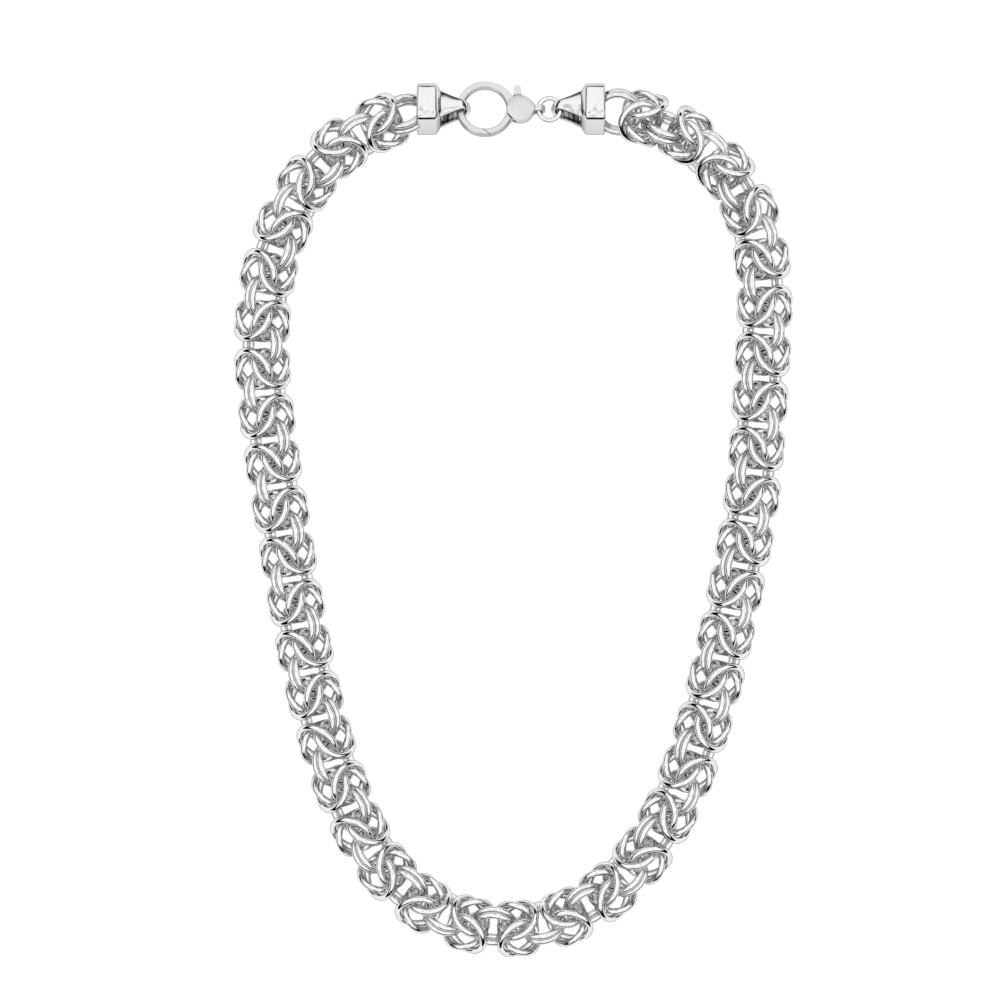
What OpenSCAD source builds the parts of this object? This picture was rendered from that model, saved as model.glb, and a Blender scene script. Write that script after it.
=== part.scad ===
// Byzantine chain necklace, closed with a ring clasp and laid flat as a loop.
// +X is to the right and +Y is away from the wearer's chest side, towards the clasp.
// +Z is up. The origin is under the middle of the loop, on the surface it lies on.

/* [Links] */
// Wire diameter of every link
wire_d = 1.3; // [1.1:0.05:1.4]
// Inner diameter of every link
link_inner_d = 7; // [6.7:0.1:7.6]
// How far each link of a crossed pair leans out, in degrees
pair_lean = 27; // [25:0.5:29]
// Gap between the two links of a crossed pair where they are closest
pair_gap = 0.13; // [0.1:0.01:0.2]
// Shift of each crossed pair along the chain, from the knot's middle
pair_shift = 0.1; // [0.06:0.02:0.2]
// Angle of each pair from upright, 45 for a chain with a square section
weave_angle = 43; // [42:0.5:46]
// Gap between the two joining links, wire to wire
joiner_gap = 0.3; // [0.2:0.1:0.8]
// Gap between two knots on a straight run
knot_gap = 0.7; // [0.6:0.05:1]
// How far inside the middle line the knots keep an even spacing
bend_line = 1.8; // [1.6:0.1:2.2]
// Number of knots, each of four links
knots = 41; // [39:1:43]
// How much each knot near the right cap is rolled more than the last, in degrees
roll_step = 4; // [0:1:5]
// Number of knots that are rolled
rolled_knots = 4; // [1:1:5]

/* [End caps] */
// Side of a cap's square section
cap_side = 8.6; // [8:0.1:9.4]
// Length of a cap's body along the chain
cap_len = 5; // [4.4:0.1:6]
// Radius of a cap's long edges
cap_round = 1.7; // [1.2:0.1:2.2]
// Roll of both caps, in degrees
cap_roll = -26; // [-30:1:0]
// Depth of the recess that the chain goes into
cap_recess = 0.8; // [0.5:0.1:1.2]
// Wall round the recess
cap_wall = 0.6; // [0.5:0.1:0.9]
// Distance from a cap's face to the middle of the links soldered in it
solder_reach = 2.8; // [2.6:0.1:3]
// Length of a cap's shoulder slope
shoulder_len = 1.3; // [0.8:0.1:1.8]
// Height of a cap's shoulder slope
shoulder_drop = 1.5; // [1:0.1:2]
// Edge break at the chain end of a cap
edge_break = 0.35; // [0.2:0.05:0.6]

/* [Bails] */
// Length of a bail from the cap to its tip
bail_len = 6; // [5.6:0.1:6.6]
// Thickness of the bail's strap
strap_t = 0.8; // [0.6:0.1:1]
// Inner radius of the bail's tip
bail_inner_r = 1.75; // [1.6:0.05:2]
// Half the width of the bail where it meets the cap
bail_root_w = 3.15; // [2.6:0.05:3.6]
// Half the width of the bail at its tip
bail_tip_w = 0.55; // [0.45:0.05:0.65]
// Depth of metal between the cap and the bail's hole
bail_web = 0.4; // [0.3:0.1:1]
// Gap between a bail's tip and the wire it holds
hang_gap = 0.6; // [0.5:0.05:0.7]

/* [Clasp] */
// Outer diameter of the clasp's ring
clasp_d = 11.7; // [11:0.1:12.6]
// Width of the ring's band
band_w = 1.5; // [1.3:0.1:1.7]
// Thickness of the ring's band
band_t = 1.8; // [1.5:0.1:1.9]
// Edge break of the band
band_break = 0.3; // [0.15:0.05:0.45]
// Radius of the clasp's round body
body_r = 2.93; // [2.8:0.05:3.1]
// Thickness of the clasp's body
body_t = 3.4; // [3.2:0.1:4]
// Radius of the crown on the body's two faces
body_crown_r = 8; // [6:0.5:12]
// Radius of the body's narrow end
tail_r = 1.2; // [1:0.05:1.4]
// Distance from the body's middle to its narrow end's middle
tail_len = 2.35; // [2.2:0.05:2.6]
// How far the body runs into the ring's band
body_sink = 0.1; // [0.05:0.05:0.3]
// Roll of the whole clasp, in degrees
clasp_roll = -15; // [-20:1:-8]
// Hole in the tail for the jump ring
eye_hole_d = 1.85; // [1.7:0.05:1.95]
// Wall round that hole
eye_wall = 0.5; // [0.4:0.05:0.7]
// Width of the eye, across the hole's ends
eye_w = 1.2; // [1:0.1:1.4]
// How far the eye is sunk into the tail
eye_sink = 0.75; // [0.6:0.05:0.85]
// How far the shoulder between the ring and the body stands out past the band
shoulder_out = 0.1; // [0.05:0.05:0.15]

/* [Lever] */
// Thickness of the lever's plate inside the body
plate_t = 1; // [0.8:0.1:1.2]
// Gap on each side of the plate
plate_gap = 0.1; // [0.08:0.02:0.2]
// Radius of the lever's hub
hub_r = 1.7; // [1.5:0.05:1.8]
// Diameter of the pivot pin
pivot_d = 1.2; // [1:0.05:1.4]
// Running gap round the pivot pin
pivot_gap = 0.05; // [0.03:0.01:0.08]
// Gap round the lever's moving outline
swing_gap = 0.15; // [0.1:0.05:0.25]
// How far the lever opens, in degrees
lever_open = 22; // [15:1:24]
// Place of the seam round the ring, in degrees
seam_at = -86.5; // [-92:0.5:-80]
// Slant of the seam
seam_slant = 39; // [25:1:50]
// Width of the seam
seam_gap = 0.12; // [0.1:0.01:0.2]
// Width of the thumb piece
thumb_w = 1.6; // [1.4:0.1:1.7]
// Height of the thumb piece over the pivot
thumb_h = 5; // [4.5:0.1:5.2]
// Thickness of the thumb piece
thumb_t = 1.6; // [1.2:0.1:2]
// How far the thumb piece is set back from the pivot
thumb_back = 0.6; // [0.4:0.05:0.65]

/* [Jump ring] */
// Diameter of the jump ring's middle line
jump_d = 4.5; // [4.2:0.1:5]
// Wire diameter of the jump ring
jump_wire_d = 1; // [0.8:0.05:1.1]

/* [Hidden] */

// Round shapes are drawn with this many sides
$fn = 48;
big = 40;

// Link sizes
link_r = (link_inner_d + wire_d) / 2;
pair_mid = link_r * sin(pair_lean) + (wire_d + pair_gap) / 2;
joiner_mid = (wire_d + joiner_gap) / 2;
knot_pitch = 2 * (link_r * cos(pair_lean) + pair_shift) + wire_d + knot_gap;

// Half the chain's height and width as it lies
chain_half_t = pair_mid * cos(weave_angle) + wire_d / 2
    + link_r * norm([sin(weave_angle), sin(pair_lean) * cos(weave_angle)]);
chain_half_w = pair_mid * sin(weave_angle) + wire_d / 2
    + link_r * norm([cos(weave_angle), sin(pair_lean) * sin(weave_angle)]);

// Clasp sizes, from the middle of its ring
ring_out_r = clasp_d / 2;
ring_in_r = ring_out_r - band_w;
pivot = [ring_in_r + body_r - body_sink, 0];
slot_t = plate_t + 2 * plate_gap;
eye_x = pivot.x + tail_len + tail_r + eye_hole_d / 2 - eye_sink;
jump_x = eye_x + jump_d / 2;
swing_r = body_r + 2 * swing_gap;
// Middle of the shoulder's round edge
shoulder_mid = [0.5, -0.3];
// Angles round the ring between which the shoulder stands
shoulder_from = 8;
shoulder_to = 112;
// Angles round the pivot between which the thumb piece's stalk stands
stalk_from = 84;
stalk_to = 112;
// Angles round the pivot between which the arm leaves the hub
arm_from = 165;
arm_to = 248;
// Angles round the ring between which the arm joins the gate
gate_near = -12;
gate_mid = -40;
gate_far = -60;
// Spare angle at each side of the slot
slot_spare = 5;
// How far the plate stays inside the ring's two faces
plate_inset = 0.1;
// How far a part runs into the one it is joined to
overlap = 0.2;
// How steeply a bail narrows from the cap
bail_curve = 1.45;

// Where the chain meets each cap, from the middle of the clasp's ring
reach_left = ring_in_r - hang_gap - strap_t + bail_len + cap_len;
reach_right = jump_x + jump_d / 2 - jump_wire_d / 2 - hang_gap - strap_t + bail_len + cap_len;

// Middle line of the chain from the left cap round to the right one, as chosen by hand
route_points = [
    [-19.7, 84.4], [-39.5, 77], [-52, 52], [-51.5, 26], [-48, 4.5], [-44, -20.5],
    [-39.5, -43], [-29.5, -71.5], [-10, -85], [13, -83], [30.5, -66], [39.5, -41.5],
    [44.5, -19], [49.5, 6], [50.5, 27.5], [53, 61.5], [36.5, 81], [18.7, 84.4]];
clasp_at = [-5.8, 84.4];

// The route as a smooth line: a cubic spline that starts and ends on its first and last points
span_steps = 12;
function with_ends(p) = concat([2 * p[0] - p[1]], p, [2 * p[len(p) - 1] - p[len(p) - 2]]);
function spline(a, b, c, d, t) =
    (pow(1 - t, 3) * a + (3 * t * t * t - 6 * t * t + 4) * b
    + (-3 * t * t * t + 3 * t * t + 3 * t + 1) * c + t * t * t * d) / 6;
function slope(a, b, c, d, t) =
    (-(1 - t) * (1 - t) * a + (3 * t * t - 4 * t) * b + (-3 * t * t + 2 * t + 1) * c + t * t * d) / 2;
function unit(v) = v / norm(v);
function line_points(p) = let (e = with_ends(p), last = (len(p) - 1) * span_steps)
    [for (i = [0:last]) let (s = min(floor(i / span_steps), len(p) - 2), t = i / span_steps - s)
        spline(e[s], e[s + 1], e[s + 2], e[s + 3], t)];
function line_headings(p) = let (e = with_ends(p), last = (len(p) - 1) * span_steps)
    [for (i = [0:last]) let (s = min(floor(i / span_steps), len(p) - 2), t = i / span_steps - s)
        unit(slope(e[s], e[s + 1], e[s + 2], e[s + 3], t))];
function inner_line(points, headings) =
    [for (i = [0:len(points) - 1]) points[i] + bend_line * [-headings[i].y, headings[i].x]];
function lengths(p) = [for (i = 0, s = 0; i < len(p);
    i = i + 1, s = s + (i < len(p) ? norm(p[i] - p[i - 1]) : 0)) s];
function last(list) = list[len(list) - 1];

// The route grows with the links, while its ends stay at the caps
free_length = last(lengths(inner_line(line_points(route_points), line_headings(route_points))));
route_scale = (knots * knot_pitch + 2 * solder_reach) / free_length;
left_end = clasp_at - [reach_left, 0];
right_end = clasp_at + [reach_right, 0];
function between(a, b, t) = a + (b - a) * t;
route = [for (i = [0:len(route_points) - 1]) let (t = i / (len(route_points) - 1))
    between(left_end, right_end, t)
    + route_scale * (route_points[i] - between(route_points[0], last(route_points), t))];
middle = line_points(route);
headings = line_headings(route);
stations = lengths(inner_line(middle, headings));
function along(values, s) = lookup(s, [for (i = [0:len(stations) - 1]) [stations[i], values[i]]]);
route_x = [for (p = middle) p.x];
route_y = [for (p = middle) p.y];
heading_x = [for (h = headings) h.x];
heading_y = [for (h = headings) h.y];
function spot(s) = [along(route_x, s), along(route_y, s)];
function heading(s) = atan2(along(heading_y, s), along(heading_x, s));

// Place, heading and roll of each knot and of the joiner after it
spacing = (last(stations) - 2 * solder_reach) / knots;
knot_s = [for (k = [0:knots - 1]) solder_reach + spacing * (k + 0.5)];
knot_spot = [for (s = knot_s) spot(s)];
knot_heading = [for (s = knot_s) heading(s)];
function knot_roll(k) = roll_step * max(0, k - (knots - 1 - rolled_knots));
function knot_side(k) = k % 2 == 0 ? -1 : 1;
first_right = ceil(knots / 2);

// Middle of the loop's box, which is set over the origin
cap_half_w = (cap_side / 2 - cap_round) * (cos(cap_roll) + abs(sin(cap_roll))) + cap_round;
loop_mid = [(min(route_x) + max(route_x)) / 2,
            (min(route_y) - chain_half_w + clasp_at.y + cap_half_w) / 2];

module at_spot(p, turn, roll) {
    translate([p.x, p.y, 0]) rotate([0, 0, turn]) rotate([roll, 0, 0]) children();
}

module laid() {
    translate([-loop_mid.x, -loop_mid.y, chain_half_t]) children();
}

// One round link, lying in its own plane
module link() {
    rotate_extrude() translate([link_r, 0]) circle(d = wire_d, $fn = 24);
}

// Two links that meet at one end and lean apart at the other, which faces along way
module crossed_pair(way) {
    for (s = [-1, 1])
        translate([way * pair_shift, 0, s * pair_mid]) rotate([0, -way * s * pair_lean, 0]) link();
}

// Four links: the pair that opens backwards and the pair that opens forwards
module knot(side) {
    rotate([-side * weave_angle, 0, 0]) crossed_pair(-1);
    rotate([side * weave_angle, 0, 0]) crossed_pair(1);
}

// The two flat links that join a knot to the next one
module joiner(side) {
    rotate([side * weave_angle, 0, 0])
        for (s = [-1, 1]) translate([0, 0, s * joiner_mid]) link();
}

module placed_knot(k) {
    at_spot(knot_spot[k], knot_heading[k], knot_roll(k)) knot(knot_side(k));
}

module placed_joiner(k) {
    step = knot_spot[k + 1] - knot_spot[k];
    at_spot((knot_spot[k] + knot_spot[k + 1]) / 2, atan2(step.y, step.x),
            (knot_roll(k) + knot_roll(k + 1)) / 2) joiner(knot_side(k));
}

module chain_left() {
    color("silver") laid() {
        for (k = [0:first_right - 1]) placed_knot(k);
        for (k = [0:first_right - 1]) placed_joiner(k);
    }
}

module chain_right() {
    color("silver") laid() {
        for (k = [first_right:knots - 1]) placed_knot(k);
        for (k = [first_right:knots - 2]) placed_joiner(k);
    }
}

module rounded_square(side, r) {
    square([side, side - 2 * r], center = true);
    square([side - 2 * r, side], center = true);
    for (x = [-1, 1], y = [-1, 1]) translate([x, y] * (side / 2 - r)) circle(r = r);
}

// Side outline of a cap's body: the chain face at the left, the shoulder at the right
module cap_outline() {
    h = cap_side / 2;
    polygon([[0, edge_break - h], [edge_break, -h], [cap_len - shoulder_len, -h],
             [cap_len, shoulder_drop - h], [cap_len, h - shoulder_drop], [cap_len - shoulder_len, h],
             [edge_break, h], [0, h - edge_break]]);
}

// A cap's body, its chain face at the origin and its axis along X
module cap_body() {
    difference() {
        intersection() {
            rotate([90, 0, 90]) linear_extrude(cap_len) rounded_square(cap_side, cap_round);
            translate([0, 0, -cap_side]) linear_extrude(2 * cap_side) cap_outline();
            rotate([90, 0, 0]) translate([0, 0, -cap_side]) linear_extrude(2 * cap_side) cap_outline();
        }
        rotate([90, 0, 90]) translate([0, 0, -1]) linear_extrude(1 + cap_recess)
            rounded_square(cap_side - 2 * cap_wall, cap_round - cap_wall);
    }
}

// Side outline of the bail's strap, bent round its hole
module strap_outline() {
    tip_x = bail_len - strap_t - bail_inner_r;
    tip_r = bail_inner_r + strap_t;
    root_h = tip_r + strap_t / 2;
    difference() {
        union() {
            translate([tip_x, 0]) circle(r = tip_r);
            polygon([[-overlap, -root_h], [tip_x, -tip_r], [tip_x, tip_r], [-overlap, root_h]]);
        }
        translate([tip_x, 0]) circle(r = bail_inner_r);
        translate([bail_web, -bail_inner_r]) square([tip_x - bail_web, 2 * bail_inner_r]);
    }
}

// Outline of the bail from above, narrowing like a trumpet
module bail_plan() {
    steps = 8;
    side = [for (i = [0:steps]) let (t = i / steps)
        [-overlap + (bail_len + 2 * overlap) * t, bail_tip_w + (bail_root_w - bail_tip_w) * pow(1 - t, bail_curve)]];
    polygon(concat(side, [for (i = [steps:-1:0]) [side[i].x, -side[i].y]]));
}

module bail() {
    intersection() {
        rotate([90, 0, 0]) translate([0, 0, -bail_root_w - 1]) linear_extrude(2 * bail_root_w + 2)
            strap_outline();
        translate([0, 0, -bail_root_w - 2]) linear_extrude(2 * bail_root_w + 4) bail_plan();
    }
}

module cap() {
    rotate([cap_roll, 0, 0]) {
        cap_body();
        translate([cap_len, 0, 0]) bail();
    }
}

// Each cap is one solid with the two links that are soldered in it
module end_cap_left() {
    color("silver") laid() union() {
        translate([left_end.x, left_end.y, 0]) cap();
        at_spot(spot(solder_reach), heading(solder_reach), knot_roll(0)) joiner(-knot_side(0));
    }
}

module end_cap_right() {
    s = last(stations) - solder_reach;
    color("silver") laid() union() {
        translate([right_end.x, right_end.y, 0]) mirror([1, 0, 0]) cap();
        at_spot(spot(s), heading(s), knot_roll(knots - 1)) joiner(knot_side(knots - 1));
    }
}

module clasp_placed() {
    laid() translate([clasp_at.x, clasp_at.y, 0]) rotate([clasp_roll, 0, 0]) children();
}

// The ring's band, all the way round, with broken edges
module band() {
    w = band_w / 2;
    h = band_t / 2;
    b = band_break;
    rotate_extrude() translate([(ring_out_r + ring_in_r) / 2, 0])
        polygon([[-w, b - h], [b - w, -h], [w - b, -h], [w, b - h],
                 [w, h - b], [w - b, h], [b - w, h], [-w, h - b]]);
}

// A flat wedge from the middle out, between two angles less than 180 degrees apart
module wedge(from, to, r = big) {
    mid = (from + to) / 2;
    polygon([[0, 0], r * [cos(from), sin(from)], 2 * r * [cos(mid), sin(mid)], r * [cos(to), sin(to)]]);
}

// The half plane on the lever's side of the seam, moved off the seam by shift
module past_seam(shift) {
    r = (ring_out_r + ring_in_r) / 2;
    translate(r * [cos(seam_at), sin(seam_at)]) rotate(-seam_slant) translate([-big / 2, shift])
        square([big, big / 2]);
}

// Plan of what the lever takes out of the ring
module gate_plan(shift) {
    intersection() {
        wedge(seam_at - seam_slant, 0);
        past_seam(shift);
    }
}

// The room that the lever's plate swings in
module slot_plan() {
    translate(pivot) {
        circle(r = hub_r + swing_gap);
        intersection() {
            circle(r = swing_r);
            union() {
                wedge(arm_from, arm_to + slot_spare);
                wedge(stalk_from - lever_open - slot_spare, stalk_to + slot_spare);
            }
        }
    }
}

module clasp_round_body() {
    intersection() {
        translate([pivot.x, pivot.y, 0]) {
            rise = (body_r - tail_r) / tail_len;
            sphere(r = body_r);
            translate([tail_len, 0, 0]) sphere(r = tail_r);
            translate([body_r * rise, 0, 0]) rotate([0, 90, 0])
                cylinder(h = tail_len - (body_r - tail_r) * rise,
                         r1 = body_r * sqrt(1 - rise * rise), r2 = tail_r * sqrt(1 - rise * rise));
        }
        translate([pivot.x, pivot.y, body_t / 2 - body_crown_r]) sphere(r = body_crown_r);
        translate([pivot.x, pivot.y, body_crown_r - body_t / 2]) sphere(r = body_crown_r);
    }
}

// The hook, the round body, the pivot pin and the eye, as one casting
module clasp_body() {
    color("gainsboro") clasp_placed() {
        difference() {
            union() {
                difference() {
                    band();
                    translate([0, 0, -band_t]) linear_extrude(2 * band_t) gate_plan(-seam_gap / 2);
                }
                translate([0, 0, -band_t / 2]) linear_extrude(band_t) difference() {
                    intersection() {
                        translate(shoulder_mid) circle(r = ring_out_r + shoulder_out);
                        wedge(shoulder_from, shoulder_to);
                    }
                    circle(r = ring_in_r + band_w / 2);
                }
                clasp_round_body();
                translate([eye_x, pivot.y, 0]) rotate([90, 0, 0])
                    cylinder(r = eye_hole_d / 2 + eye_wall, h = eye_w, center = true);
            }
            translate([0, 0, -slot_t / 2]) linear_extrude(slot_t) slot_plan();
            translate([eye_x, pivot.y, 0]) rotate([90, 0, 0])
                cylinder(d = eye_hole_d, h = big, center = true);
        }
        translate([pivot.x, pivot.y, 0]) cylinder(d = pivot_d, h = slot_t + 2 * overlap, center = true);
    }
}

// Plan of the lever's plate: the hub, the arm to the gate and the stalk of the thumb piece
module plate_plan() {
    difference() {
        union() {
            translate(pivot) circle(r = hub_r);
            intersection() {
                difference() {
                    circle(r = ring_out_r);
                    circle(r = ring_in_r + plate_inset);
                }
                wedge(gate_far, gate_near);
            }
            polygon([pivot, (ring_in_r + plate_inset) * [cos(gate_near), sin(gate_near)],
                     (ring_out_r - plate_inset) * [cos(gate_mid), sin(gate_mid)],
                     pivot + hub_r * [cos(arm_to), sin(arm_to)]]);
            translate(pivot) intersection() {
                circle(r = swing_r);
                wedge(stalk_from, stalk_to);
            }
        }
        translate(pivot) circle(d = pivot_d + 2 * pivot_gap);
    }
}

// Gate, plate and thumb piece, which turn as one about the pivot
module clasp_lever() {
    color("gainsboro") clasp_placed() {
        intersection() {
            difference() {
                band();
                translate([pivot.x, pivot.y, 0]) cylinder(r = body_r + swing_gap, h = big, center = true);
            }
            translate([0, 0, -band_t]) linear_extrude(2 * band_t) gate_plan(seam_gap / 2);
        }
        translate([0, 0, -plate_t / 2]) linear_extrude(plate_t) plate_plan();
        difference() {
            translate([pivot.x - thumb_back, pivot.y, -thumb_t / 2]) linear_extrude(thumb_t) {
                translate([0, thumb_h - thumb_w / 2]) circle(d = thumb_w);
                translate([-thumb_w / 2, 0]) square([thumb_w, thumb_h - thumb_w / 2]);
            }
            translate([pivot.x, pivot.y, 0]) cylinder(r = body_r + swing_gap, h = big, center = true);
        }
    }
}

// A plain round ring between the clasp's eye and the right bail
module jump_ring() {
    color("silver") laid() translate([clasp_at.x + jump_x, clasp_at.y, 0])
        rotate_extrude() translate([jump_d / 2, 0]) circle(d = jump_wire_d, $fn = 24);
}

chain_left();
chain_right();
end_cap_left();
end_cap_right();
clasp_body();
clasp_lever();
jump_ring();
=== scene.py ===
import math
import random

import bmesh
import bpy
import numpy as np
from mathutils import Matrix, Vector


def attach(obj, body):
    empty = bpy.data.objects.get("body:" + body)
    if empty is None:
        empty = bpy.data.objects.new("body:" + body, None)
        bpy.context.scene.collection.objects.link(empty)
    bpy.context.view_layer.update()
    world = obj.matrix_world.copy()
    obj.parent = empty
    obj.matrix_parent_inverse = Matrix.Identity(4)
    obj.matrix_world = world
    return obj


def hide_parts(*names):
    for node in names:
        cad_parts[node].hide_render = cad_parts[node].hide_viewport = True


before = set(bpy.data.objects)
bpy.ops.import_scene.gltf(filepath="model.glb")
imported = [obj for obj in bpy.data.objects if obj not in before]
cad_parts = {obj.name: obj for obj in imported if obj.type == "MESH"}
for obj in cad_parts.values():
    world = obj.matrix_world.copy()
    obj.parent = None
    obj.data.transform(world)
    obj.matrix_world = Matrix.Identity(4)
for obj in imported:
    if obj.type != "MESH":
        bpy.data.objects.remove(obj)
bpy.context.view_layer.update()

MM = 0.001
BODY = "necklace"

# What the picture shows: its middle, its width and the height of the middle of the chain
VIEW_MIDDLE = (-2.704 * MM, 4.162 * MM)
VIEW_WIDTH = 204.5 * MM
VIEW_LEVEL = 5.7 * MM
CAMERA_HEIGHT = 1.0
SENSOR = 36

# Brightness of the tent by height, from below the horizon to overhead
TENT = [
    (0.0, 0.0), (0.32, 0.0), (0.42, 0.35), (0.5, 0.88),
    (0.89, 0.95), (0.93, 0.25), (0.965, 1.0), (1.0, 0.95),
]
TENT_STRENGTH = 1.45
# Size of the tent's soft patches, how far they shift its bands, and how far the tent leans
PATCH_SIZE = 2.2
PATCH_SHIFT = 0.8
TENT_LEAN = 0.16

FLOOR_SIZE = 4
FLOOR_DROP = 0.1 * MM
FLOOR_TONE = 0.25
FLOOR_GLOW = 0.9

# Wire and middle radius of a link and of the jump ring, and the steps round each
WIRE_R = 0.705 * MM
LINK_R = 4.15 * MM
LINK_STEPS = 36
JUMP_WIRE_R = 0.52 * MM
JUMP_R = 2.25 * MM
JUMP_STEPS = 48
WIRE_STEPS = 12
# Thickness of the wire where a link was closed, as a share of the rest
WAIST = 0.965

# Sizes of a cap, from its chain face at 0 out to its bail's tip
CAP_SIDE = 8.6 * MM
CAP_LEN = 5 * MM
CAP_ROUND = 1.7 * MM
CAP_RIM = 0.45 * MM
CAP_WALL = 0.6 * MM
CAP_RECESS = 0.8 * MM
CAP_EDGE = 0.28 * MM
CAP_ROLL = math.radians(-26)
SHOULDER = 1.3 * MM
# Steps of the shoulder in mm, each with how much narrower it gets
SHOULDER_STEPS = ((0.35, 0.96), (0.4, 0.89), (0.35, 0.84), (0.2, 0.90))

# The web between the arms of a bail
WEB_THICK = 0.5 * MM
WEB_SIDE = 4.6 * MM
WEB_EDGE = 0.3 * MM

# The bail: a strap from the cap round its hole and back
STRAP = 0.8 * MM
STRAP_EDGE = 0.2 * MM
BAIL_LEN = 6 * MM
BAIL_TIP_R = 2.15 * MM
BAIL_ROOT_W = 3.15 * MM
BAIL_TIP_W = 0.55 * MM
BAIL_CURVE = 1.45
# Points of the upper arm in mm, out from the cap and up from the middle
BAIL_ARM = ((0.4, 2.48), (1.0, 2.38), (1.7, 2.29), (2.5, 2.21))
# Middle of the bend at the tip
BAIL_BEND_X = CAP_LEN + BAIL_LEN - STRAP / 2 - BAIL_TIP_R
# The strap's root: how far it starts inside the cap, its first step and its rise
ROOT_IN = 0.4 * MM
ROOT_STEP = 0.2 * MM
ROOT_RISE = 0.04 * MM
# How far the strap's sides curl in towards its hole, as a share of its half width
BAIL_CURL = 0.13
# Marks the faces inside a bail's hole, which get painted shade
INSIDE = "inside"

# Where the caps sit
MIDDLE_Z = 5.69872 * MM
CAP_Y = 84.0631 * MM
CAP_X = {"left": -19.6935 * MM, "right": 18.7615 * MM}
# The pair of links soldered in each cap: x and y in mm, heading and roll in degrees
SOLDERED = {
    "left": (-22.3276, 83.068, -158.997, 43),
    "right": (21.5293, 83.523, 168.546, -27),
}
PAIR_Z = 0.8 * MM

# Middle of the clasp's round body, on its pivot
PIVOT = (1.43648 * MM, 84.0631 * MM, 5.69872 * MM)

# Dark tint of the metals at grazing angles
GRAZING_TONE = (0.3, 0.3, 0.3, 1)
# Height of the fine grain and of the engraved lines
GRAIN_STEP = 0.05 * MM
LINE_STEP = 0.04 * MM

random.seed(11)


# Small helpers for picking and shaping


def pick(*things):
    """Leaves only the given objects selected, the first one active."""
    if bpy.context.object and bpy.context.object.mode != "OBJECT":
        bpy.ops.object.mode_set(mode="OBJECT")
    bpy.ops.object.select_all(action="DESELECT")
    for thing in things:
        thing.select_set(True)
    bpy.context.view_layer.objects.active = things[0]


def named(name):
    """The active object with its new name on object and mesh."""
    thing = bpy.context.object
    thing.name = name
    thing.data.name = name
    return thing


def settle(thing):
    """Puts the object's place into its mesh, so that it sits at the origin."""
    pick(thing)
    bpy.ops.object.transform_apply(location=True, rotation=True, scale=True)


def choose(mesh, kind, test):
    """Selects the vertices, edges or faces that pass the test, and nothing else."""
    bpy.ops.mesh.select_mode(type=kind)
    bpy.ops.mesh.select_all(action="DESELECT")
    work = bmesh.from_edit_mesh(mesh)
    parts = {"VERT": work.verts, "EDGE": work.edges, "FACE": work.faces}[kind]
    for part in parts:
        if test(part):
            part.select_set(True)
    work.select_flush_mode()
    bmesh.update_edit_mesh(mesh)


def round_edges(thing, width, segments, angle):
    """Rounds the active object's edges that turn by more than the angle in degrees."""
    edges = thing.modifiers.new("edges", "BEVEL")
    edges.width = width
    edges.segments = segments
    edges.limit_method = "ANGLE"
    edges.angle_limit = math.radians(angle)
    bpy.ops.object.modifier_apply(modifier="edges")


def add_node(tree, kind, values=None, links=None, operation=None, data_type=None):
    """A new shader node, with the values and the links that go into it."""
    made = tree.nodes.new("ShaderNode" + kind)
    if operation:
        made.operation = operation
    if data_type:
        made.data_type = data_type
    for name, value in (values or {}).items():
        made.inputs[name].default_value = value
    for name, source in (links or {}).items():
        tree.links.new(source, made.inputs[name])
    return made


# Camera and light


def set_camera():
    """Looks straight down from high up, as the picture does."""
    bpy.ops.object.camera_add(location=(*VIEW_MIDDLE, CAMERA_HEIGHT), rotation=(0, 0, 0))
    camera = bpy.context.object
    camera.name = "camera"
    camera.data.sensor_width = SENSOR
    camera.data.lens = SENSOR * (CAMERA_HEIGHT - VIEW_LEVEL) / VIEW_WIDTH
    camera.data.clip_start = 0.01
    camera.data.clip_end = 20
    bpy.context.scene.camera = camera


def set_world():
    """A white tent overhead, dark at the horizon, with one dark band near its top.

    The dark parts draw the thin dark lines in the metal.
    """
    world = bpy.data.worlds.new("studio")
    bpy.context.scene.world = world
    world.use_nodes = True
    tree = world.node_tree
    way = add_node(tree, "TexCoord").outputs["Generated"]
    parts = add_node(tree, "SeparateXYZ", links={0: way})
    patches = add_node(tree, "TexNoise", {"Scale": PATCH_SIZE, "Detail": 1}, {"Vector": way})
    shift = add_node(tree, "Math", {1: PATCH_SHIFT, 2: -PATCH_SHIFT / 2},
                     {0: patches.outputs["Fac"]}, operation="MULTIPLY_ADD")
    raised = add_node(tree, "Math", links={0: parts.outputs["Z"], 1: shift.outputs[0]},
                      operation="ADD")
    lean = add_node(tree, "Math", {1: TENT_LEAN},
                    {0: parts.outputs["Y"], 2: raised.outputs[0]}, operation="MULTIPLY_ADD")
    ramp = add_node(tree, "ValToRGB", links={"Fac": lean.outputs[0]})
    stops = ramp.color_ramp
    stops.interpolation = "EASE"
    for at, value in TENT[1:-1]:
        stops.elements.new(at)
    for stop, (at, value) in zip(stops.elements, TENT):
        stop.position = at
        stop.color = (value, value, value, 1)
    back = tree.nodes["Background"]
    tree.links.new(ramp.outputs["Color"], back.inputs["Color"])
    back.inputs["Strength"].default_value = TENT_STRENGTH


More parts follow.
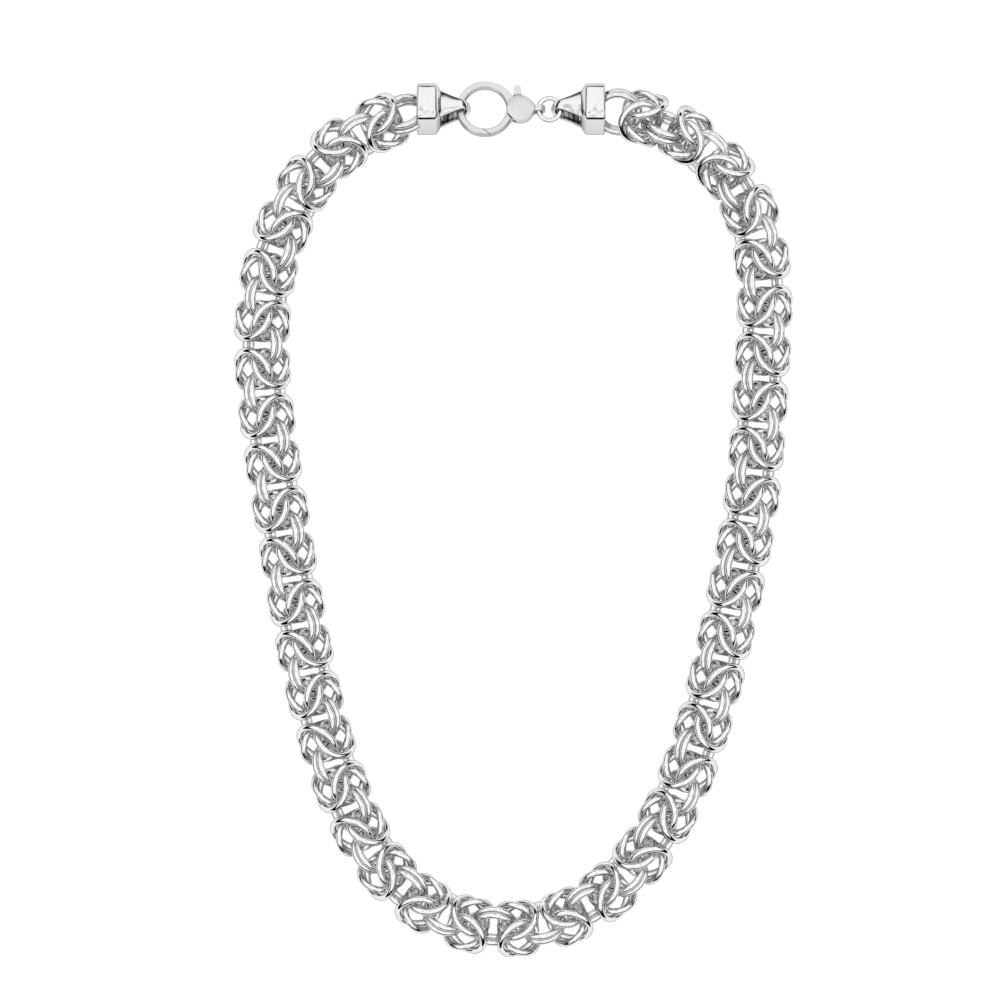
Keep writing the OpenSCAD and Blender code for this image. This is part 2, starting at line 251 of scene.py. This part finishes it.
def add_floor():
    """A white floor that is partly lit by itself."""
    bpy.ops.mesh.primitive_plane_add(size=FLOOR_SIZE, location=(0, 0, -FLOOR_DROP))
    floor = named("floor")
    sheet = bpy.data.materials.new("floor_white")
    sheet.use_nodes = True
    skin = sheet.node_tree.nodes["Principled BSDF"]
    skin.inputs["Base Color"].default_value = (FLOOR_TONE, FLOOR_TONE, FLOOR_TONE, 1)
    skin.inputs["Roughness"].default_value = 0.9
    skin.inputs["Specular IOR Level"].default_value = 0.1
    skin.inputs["Emission Color"].default_value = (1, 1, 1, 1)
    skin.inputs["Emission Strength"].default_value = FLOOR_GLOW
    floor.data.materials.append(sheet)


# Metals


def cloudy_tone(tree, place, colour):
    """The metal's colour, a little darker in soft patches."""
    clouds = add_node(tree, "TexNoise", {"Scale": 260, "Detail": 4}, {"Vector": place})
    tone = add_node(tree, "ValToRGB", links={"Fac": clouds.outputs["Fac"]})
    tone.color_ramp.elements[0].color = (*[c * 0.94 for c in colour], 1)
    tone.color_ramp.elements[1].color = (*colour, 1)
    return tone.outputs["Color"]


def paint_shade_inside(tree, place, tone):
    """Streaked painted shade, dark grey, in place of the tone on the faces marked as inside
    the bail's hole.
    """
    streaks = add_node(tree, "TexWave", {"Scale": 330, "Distortion": 3}, {"Vector": place})
    painted_shade = add_node(tree, "ValToRGB", links={"Fac": streaks.outputs["Fac"]})
    painted_shade.color_ramp.elements[0].color = (0.12, 0.12, 0.12, 1)
    painted_shade.color_ramp.elements[1].color = (0.34, 0.34, 0.34, 1)
    inside = add_node(tree, "Attribute")
    inside.attribute_name = INSIDE
    blend = add_node(tree, "Mix", links={"Factor": inside.outputs["Fac"], "A": tone,
                                         "B": painted_shade.outputs["Color"]}, data_type="RGBA")
    return blend.outputs["Result"]


def worn_roughness(tree, place, rough, spread):
    """Roughness that varies by the spread to both sides."""
    wear = add_node(tree, "TexNoise", {"Scale": 900, "Detail": 5}, {"Vector": place})
    varied = add_node(tree, "MapRange", {"To Min": rough - spread, "To Max": rough + spread},
                      {"Value": wear.outputs["Fac"]})
    return varied.outputs["Result"]


def fine_grain(tree, place, size, depth):
    """A surface with small uneven dents."""
    grain = add_node(tree, "TexNoise", {"Scale": size, "Detail": 3}, {"Vector": place})
    bump = add_node(tree, "Bump", {"Strength": depth, "Distance": GRAIN_STEP},
                    {"Height": grain.outputs["Fac"]})
    return bump.outputs["Normal"]


def engrave(tree, place, lines, colour, tone, surface):
    """Fine straight grooves within the reach of a middle: bumps in the surface, with painted
    shade darkening the tone in the grooves.
    """
    turned = add_node(tree, "Mapping", {"Rotation": (0, 0, math.radians(lines["turn"]))},
                      {"Vector": place})
    wave = add_node(tree, "TexWave", {"Scale": lines["size"], "Distortion": 0.6},
                    {"Vector": turned.outputs["Vector"]})
    away = add_node(tree, "VectorMath", {1: lines["middle"]}, {0: place}, operation="DISTANCE")
    held = add_node(tree, "MapRange", {"From Min": lines["reach"] * 0.9,
                                       "From Max": lines["reach"], "To Min": 1, "To Max": 0},
                    {"Value": away.outputs["Value"]})
    cut = add_node(tree, "Math", links={0: wave.outputs["Fac"], 1: held.outputs["Result"]},
                   operation="MULTIPLY").outputs["Value"]
    groove_shade = add_node(tree, "Mix", {"B": (*[c * 0.88 for c in colour], 1)},
                      {"Factor": cut, "A": tone}, data_type="RGBA")
    bump = add_node(tree, "Bump", {"Strength": lines["depth"], "Distance": LINE_STEP},
                    {"Height": cut, "Normal": surface})
    return groove_shade.outputs["Result"], bump.outputs["Normal"]


def metal(name, colour, rough, rough_spread, grain_size, grain_depth,
          lines=None, shade_inside=False):
    """Silver whose roughness and surface vary a little over Object coordinates."""
    look = bpy.data.materials.new(name)
    look.use_nodes = True
    tree = look.node_tree
    place = add_node(tree, "TexCoord").outputs["Object"]
    tone = cloudy_tone(tree, place, colour)
    surface = fine_grain(tree, place, grain_size, grain_depth)
    if shade_inside:
        # Painted shade, streaked dark grey, in place of the tone inside the bail's hole
        tone = paint_shade_inside(tree, place, tone)
    if lines:
        # The engraved lines darken the tone with painted shade in their grooves
        tone, surface = engrave(tree, place, lines, colour, tone, surface)
    skin = tree.nodes["Principled BSDF"]
    skin.inputs["Metallic"].default_value = 1.0
    skin.inputs["Specular Tint"].default_value = GRAZING_TONE
    tree.links.new(tone, skin.inputs["Base Color"])
    tree.links.new(worn_roughness(tree, place, rough, rough_spread), skin.inputs["Roughness"])
    tree.links.new(surface, skin.inputs["Normal"])
    return look


wire_silver = metal("wire_silver", (0.77, 0.77, 0.765), rough=0.055, rough_spread=0.03,
                    grain_size=520, grain_depth=0.55)
# The caps' metal carries painted shade on the faces inside the bail's hole
cap_polish = metal("cap_polish", (0.7, 0.7, 0.695), rough=0.13, rough_spread=0.03,
                   grain_size=400, grain_depth=0.15, shade_inside=True)
# The clasp's metal carries painted shade in its engraved grooves
clasp_bright = metal("clasp_bright", (0.69, 0.69, 0.69), rough=0.34, rough_spread=0.05,
                     grain_size=900, grain_depth=0.2,
                     lines={"size": 850, "turn": 35, "depth": 0.4, "middle": PIVOT,
                            "reach": 3 * MM})


# Links


def loose_parts(node):
    """The points of each loose link in a node, from a merged copy of its mesh."""
    work = bmesh.new()
    work.from_mesh(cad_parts[node].data)
    bmesh.ops.remove_doubles(work, verts=work.verts, dist=0.001 * MM)
    work.verts.ensure_lookup_table()
    seen = set()
    found = []
    for start in work.verts:
        if start.index in seen:
            continue
        island = []
        queue = [start]
        seen.add(start.index)
        while queue:
            vert = queue.pop()
            island.append(vert.co.copy())
            for edge in vert.link_edges:
                other = edge.other_vert(vert)
                if other.index not in seen:
                    seen.add(other.index)
                    queue.append(other)
        found.append(island)
    work.free()
    return found


def plane_of(points):
    """Middle of a round link and the direction of its axis, in which it is thinnest."""
    cloud = np.array([tuple(p) for p in points])
    middle = (cloud.min(0) + cloud.max(0)) / 2
    spread = np.cov((cloud - middle).T)
    axes = np.linalg.eigh(spread)[1]
    return Vector(middle), Vector(axes[:, 0])


def model_link(radius, wire, steps):
    """One link: a ring of round wire with a faint waist where it was closed."""
    bpy.ops.mesh.primitive_torus_add(major_segments=steps, minor_segments=WIRE_STEPS,
                                     major_radius=radius, minor_radius=wire,
                                     align="WORLD", location=(0, 0, 0))
    link = named("link_pattern")
    bpy.ops.object.mode_set(mode="EDIT")
    choose(link.data, "VERT", lambda v: v.co.x > 0 and abs(v.co.y) < 0.01 * MM)
    bpy.ops.transform.resize(value=(WAIST, WAIST, WAIST), center_override=(radius, 0, 0))
    bpy.ops.object.mode_set(mode="OBJECT")
    return link


def copy_of(pattern, name, place):
    """A new object with its own copy of the pattern's mesh, put in its place."""
    mesh = pattern.data.copy()
    mesh.transform(place)
    one = bpy.data.objects.new(name, mesh)
    bpy.context.scene.collection.objects.link(one)
    return one


def facing(middle, axis):
    """Place of a ring with that middle and axis, turned by chance about the axis."""
    turn = axis.to_track_quat("Z", "Y").to_matrix().to_4x4()
    spin = Matrix.Rotation(random.uniform(0, 2 * math.pi), 4, "Z")
    return Matrix.Translation(middle) @ turn @ spin


def finish_piece(piece, look, node):
    """Gives the piece its metal and its body, and hides the CAD node that it replaces."""
    piece.data.materials.clear()
    piece.data.materials.append(look)
    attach(piece, BODY)
    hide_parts(node)


def lay_links(node, pattern):
    """Lays a copy of the pattern on every loose link of the node and joins them."""
    copies = []
    for points in loose_parts(node):
        middle, axis = plane_of(points)
        copies.append(copy_of(pattern, node + "_link", facing(middle, axis)))
    pick(*copies)
    if len(copies) > 1:
        bpy.ops.object.join()
    piece = named(node + "_links")
    bpy.ops.object.shade_smooth()
    finish_piece(piece, wire_silver, node)


# End caps


def model_cap_body():
    """The square cap, with its chain face at 0.

    Its long edges and rim are rounded, its shoulder curves in by steps, and its chain face
    has a recess.
    """
    bpy.ops.mesh.primitive_cube_add(size=1, location=(CAP_LEN / 2, 0, 0),
                                    scale=(CAP_LEN, CAP_SIDE, CAP_SIDE))
    cap = named("cap_body")
    settle(cap)
    bpy.ops.object.mode_set(mode="EDIT")
    choose(cap.data, "EDGE", lambda e: abs(e.verts[0].co.x - e.verts[1].co.x) > CAP_LEN / 2)
    bpy.ops.mesh.bevel(offset=CAP_ROUND, segments=7, profile=0.5, affect="EDGES")
    choose(cap.data, "FACE", lambda f: f.normal.x > 0.9)
    bpy.ops.transform.translate(value=(-SHOULDER, 0, 0))
    at = CAP_LEN - SHOULDER
    for step, narrower in SHOULDER_STEPS:
        at += step * MM
        bpy.ops.mesh.extrude_region_move(TRANSFORM_OT_translate={"value": (step * MM, 0, 0)})
        bpy.ops.transform.resize(value=(1, narrower, narrower), center_override=(at, 0, 0))
    choose(cap.data, "EDGE", lambda e: max(v.co.x for v in e.verts) < 0.01 * MM)
    bpy.ops.mesh.bevel(offset=CAP_RIM, segments=4, profile=0.5, affect="EDGES")
    choose(cap.data, "FACE", lambda f: f.normal.x < -0.99)
    bpy.ops.mesh.inset(thickness=CAP_WALL - CAP_RIM)
    bpy.ops.mesh.extrude_region_move(TRANSFORM_OT_translate={"value": (CAP_RECESS, 0, 0)})
    bpy.ops.object.mode_set(mode="OBJECT")
    round_edges(cap, CAP_EDGE, segments=4, angle=40)
    return cap


def model_web():
    """The metal between the bail's two arms, against the cap."""
    bpy.ops.mesh.primitive_cube_add(size=1, location=(CAP_LEN + 0.1 * MM, 0, 0),
                                    scale=(WEB_THICK, WEB_SIDE, WEB_SIDE))
    web = named("web")
    settle(web)
    round_edges(web, WEB_EDGE, segments=3, angle=30)
    return web


def bail_path():
    """Middle line of the strap, from its upper root round the tip to its lower root."""
    upper = [(CAP_LEN + out * MM, up * MM) for out, up in BAIL_ARM]
    bend = [(BAIL_BEND_X + BAIL_TIP_R * math.cos(math.radians(a)),
             BAIL_TIP_R * math.sin(math.radians(a)))
            for a in range(90, -91, -15)]
    return upper + bend + [(x, -z) for x, z in reversed(upper)]


def bail_half_width(x):
    """Half the strap's width at a distance from the chain face, narrowing like a trumpet."""
    run = min(1, max(0, (x - CAP_LEN + 0.2 * MM) / (BAIL_LEN + 0.4 * MM)))
    return BAIL_TIP_W + (BAIL_ROOT_W - BAIL_TIP_W) * (1 - run) ** BAIL_CURVE


def curl_sides(bail):
    """Bends the strap's two sides in towards its hole."""
    work = bmesh.from_edit_mesh(bail.data)
    for vert in work.verts:
        half = bail_half_width(vert.co.x)
        inward = Vector((min(0, BAIL_BEND_X - vert.co.x), 0, -vert.co.z)).normalized()
        vert.co += inward * BAIL_CURL * half * (vert.co.y / half) ** 2
    bmesh.update_edit_mesh(bail.data)


def mark_inside(bail):
    """Marks the strap's faces that look into its hole."""
    mark = bail.data.attributes.new(INSIDE, "FLOAT", "FACE")
    for face in bail.data.polygons:
        outward = Vector((max(0, face.center.x - BAIL_BEND_X), 0, face.center.z)).normalized()
        mark.data[face.index].value = 1.0 if face.normal.dot(outward) < -0.6 else 0.0


def model_bail():
    """A strap bent round its hole, extruded edge by edge, then thickened and rounded."""
    path = bail_path()
    root_z = path[0][1] + ROOT_RISE
    start = CAP_LEN - ROOT_IN
    width = bail_half_width(CAP_LEN)
    bpy.ops.mesh.primitive_grid_add(x_subdivisions=1, y_subdivisions=8, size=1)
    bail = named("bail")
    bpy.ops.object.mode_set(mode="EDIT")
    bpy.ops.transform.resize(value=(ROOT_STEP, 2 * width, 1), center_override=(0, 0, 0))
    bpy.ops.transform.translate(value=(start + ROOT_STEP / 2, 0, root_z))
    choose(bail.data, "VERT", lambda v: v.co.x > start + ROOT_STEP * 0.75)
    x, z = start + ROOT_STEP, root_z
    for next_x, next_z in path + [(start, -root_z)]:
        new_width = bail_half_width(next_x)
        move = (next_x - x, 0, next_z - z)
        bpy.ops.mesh.extrude_region_move(TRANSFORM_OT_translate={"value": move})
        bpy.ops.transform.resize(value=(1, new_width / width, 1),
                                 center_override=(next_x, 0, next_z))
        x, z, width = next_x, next_z, new_width
    bpy.ops.mesh.select_all(action="SELECT")
    bpy.ops.mesh.normals_make_consistent(inside=False)
    curl_sides(bail)
    bpy.ops.object.mode_set(mode="OBJECT")
    wall = bail.modifiers.new("wall", "SOLIDIFY")
    wall.thickness = STRAP
    wall.offset = 0
    bpy.ops.object.modifier_apply(modifier="wall")
    round_edges(bail, STRAP_EDGE, segments=3, angle=50)
    mark_inside(bail)
    return bail


def soldered_places(side):
    """Places of the two links that are soldered into the cap."""
    x, y, heading, roll = SOLDERED[side]
    run = (Matrix.Translation((x * MM, y * MM, MIDDLE_Z))
           @ Matrix.Rotation(math.radians(heading), 4, "Z")
           @ Matrix.Rotation(math.radians(roll), 4, "X"))
    return [run @ Matrix.Translation((0, 0, up * PAIR_Z)) for up in (-1, 1)]


def make_cap(side, pattern):
    """Cap body, web, bail and the two soldered links, joined to one piece."""
    parts = [model_cap_body(), model_web(), model_bail()]
    pick(*parts)
    bpy.ops.object.join()
    cap = bpy.context.object
    turn = Matrix.Rotation(CAP_ROLL, 4, "X")
    if side == "right":
        turn = Matrix.Diagonal((-1, 1, 1, 1)) @ turn
    cap.data.transform(Matrix.Translation((CAP_X[side], CAP_Y, MIDDLE_Z)) @ turn)
    pick(cap)
    bpy.ops.object.mode_set(mode="EDIT")
    bpy.ops.mesh.select_all(action="SELECT")
    bpy.ops.mesh.normals_make_consistent(inside=False)
    bpy.ops.object.mode_set(mode="OBJECT")
    bpy.ops.object.shade_smooth_by_angle(angle=math.radians(32))
    links = [copy_of(pattern, "soldered_link", place) for place in soldered_places(side)]
    pick(*links)
    bpy.ops.object.shade_smooth()
    pick(cap, *links)
    bpy.ops.object.join()
    piece = named("cap_and_bail_" + side)
    finish_piece(piece, cap_polish, "end_cap_" + side)


set_camera()
set_world()
add_floor()

link_pattern = model_link(LINK_R, WIRE_R, LINK_STEPS)
lay_links("chain_left", link_pattern)
lay_links("chain_right", link_pattern)
make_cap("left", link_pattern)
make_cap("right", link_pattern)
bpy.data.objects.remove(link_pattern)
ring_pattern = model_link(JUMP_R, JUMP_WIRE_R, JUMP_STEPS)
lay_links("jump_ring", ring_pattern)
bpy.data.objects.remove(ring_pattern)

# The clasp keeps its CAD shapes and takes the clasp's metal
for node in ("clasp_body", "clasp_lever"):
    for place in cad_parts[node].material_slots:
        place.material = clasp_bright

bpy.context.scene.view_settings.view_transform = "Standard"
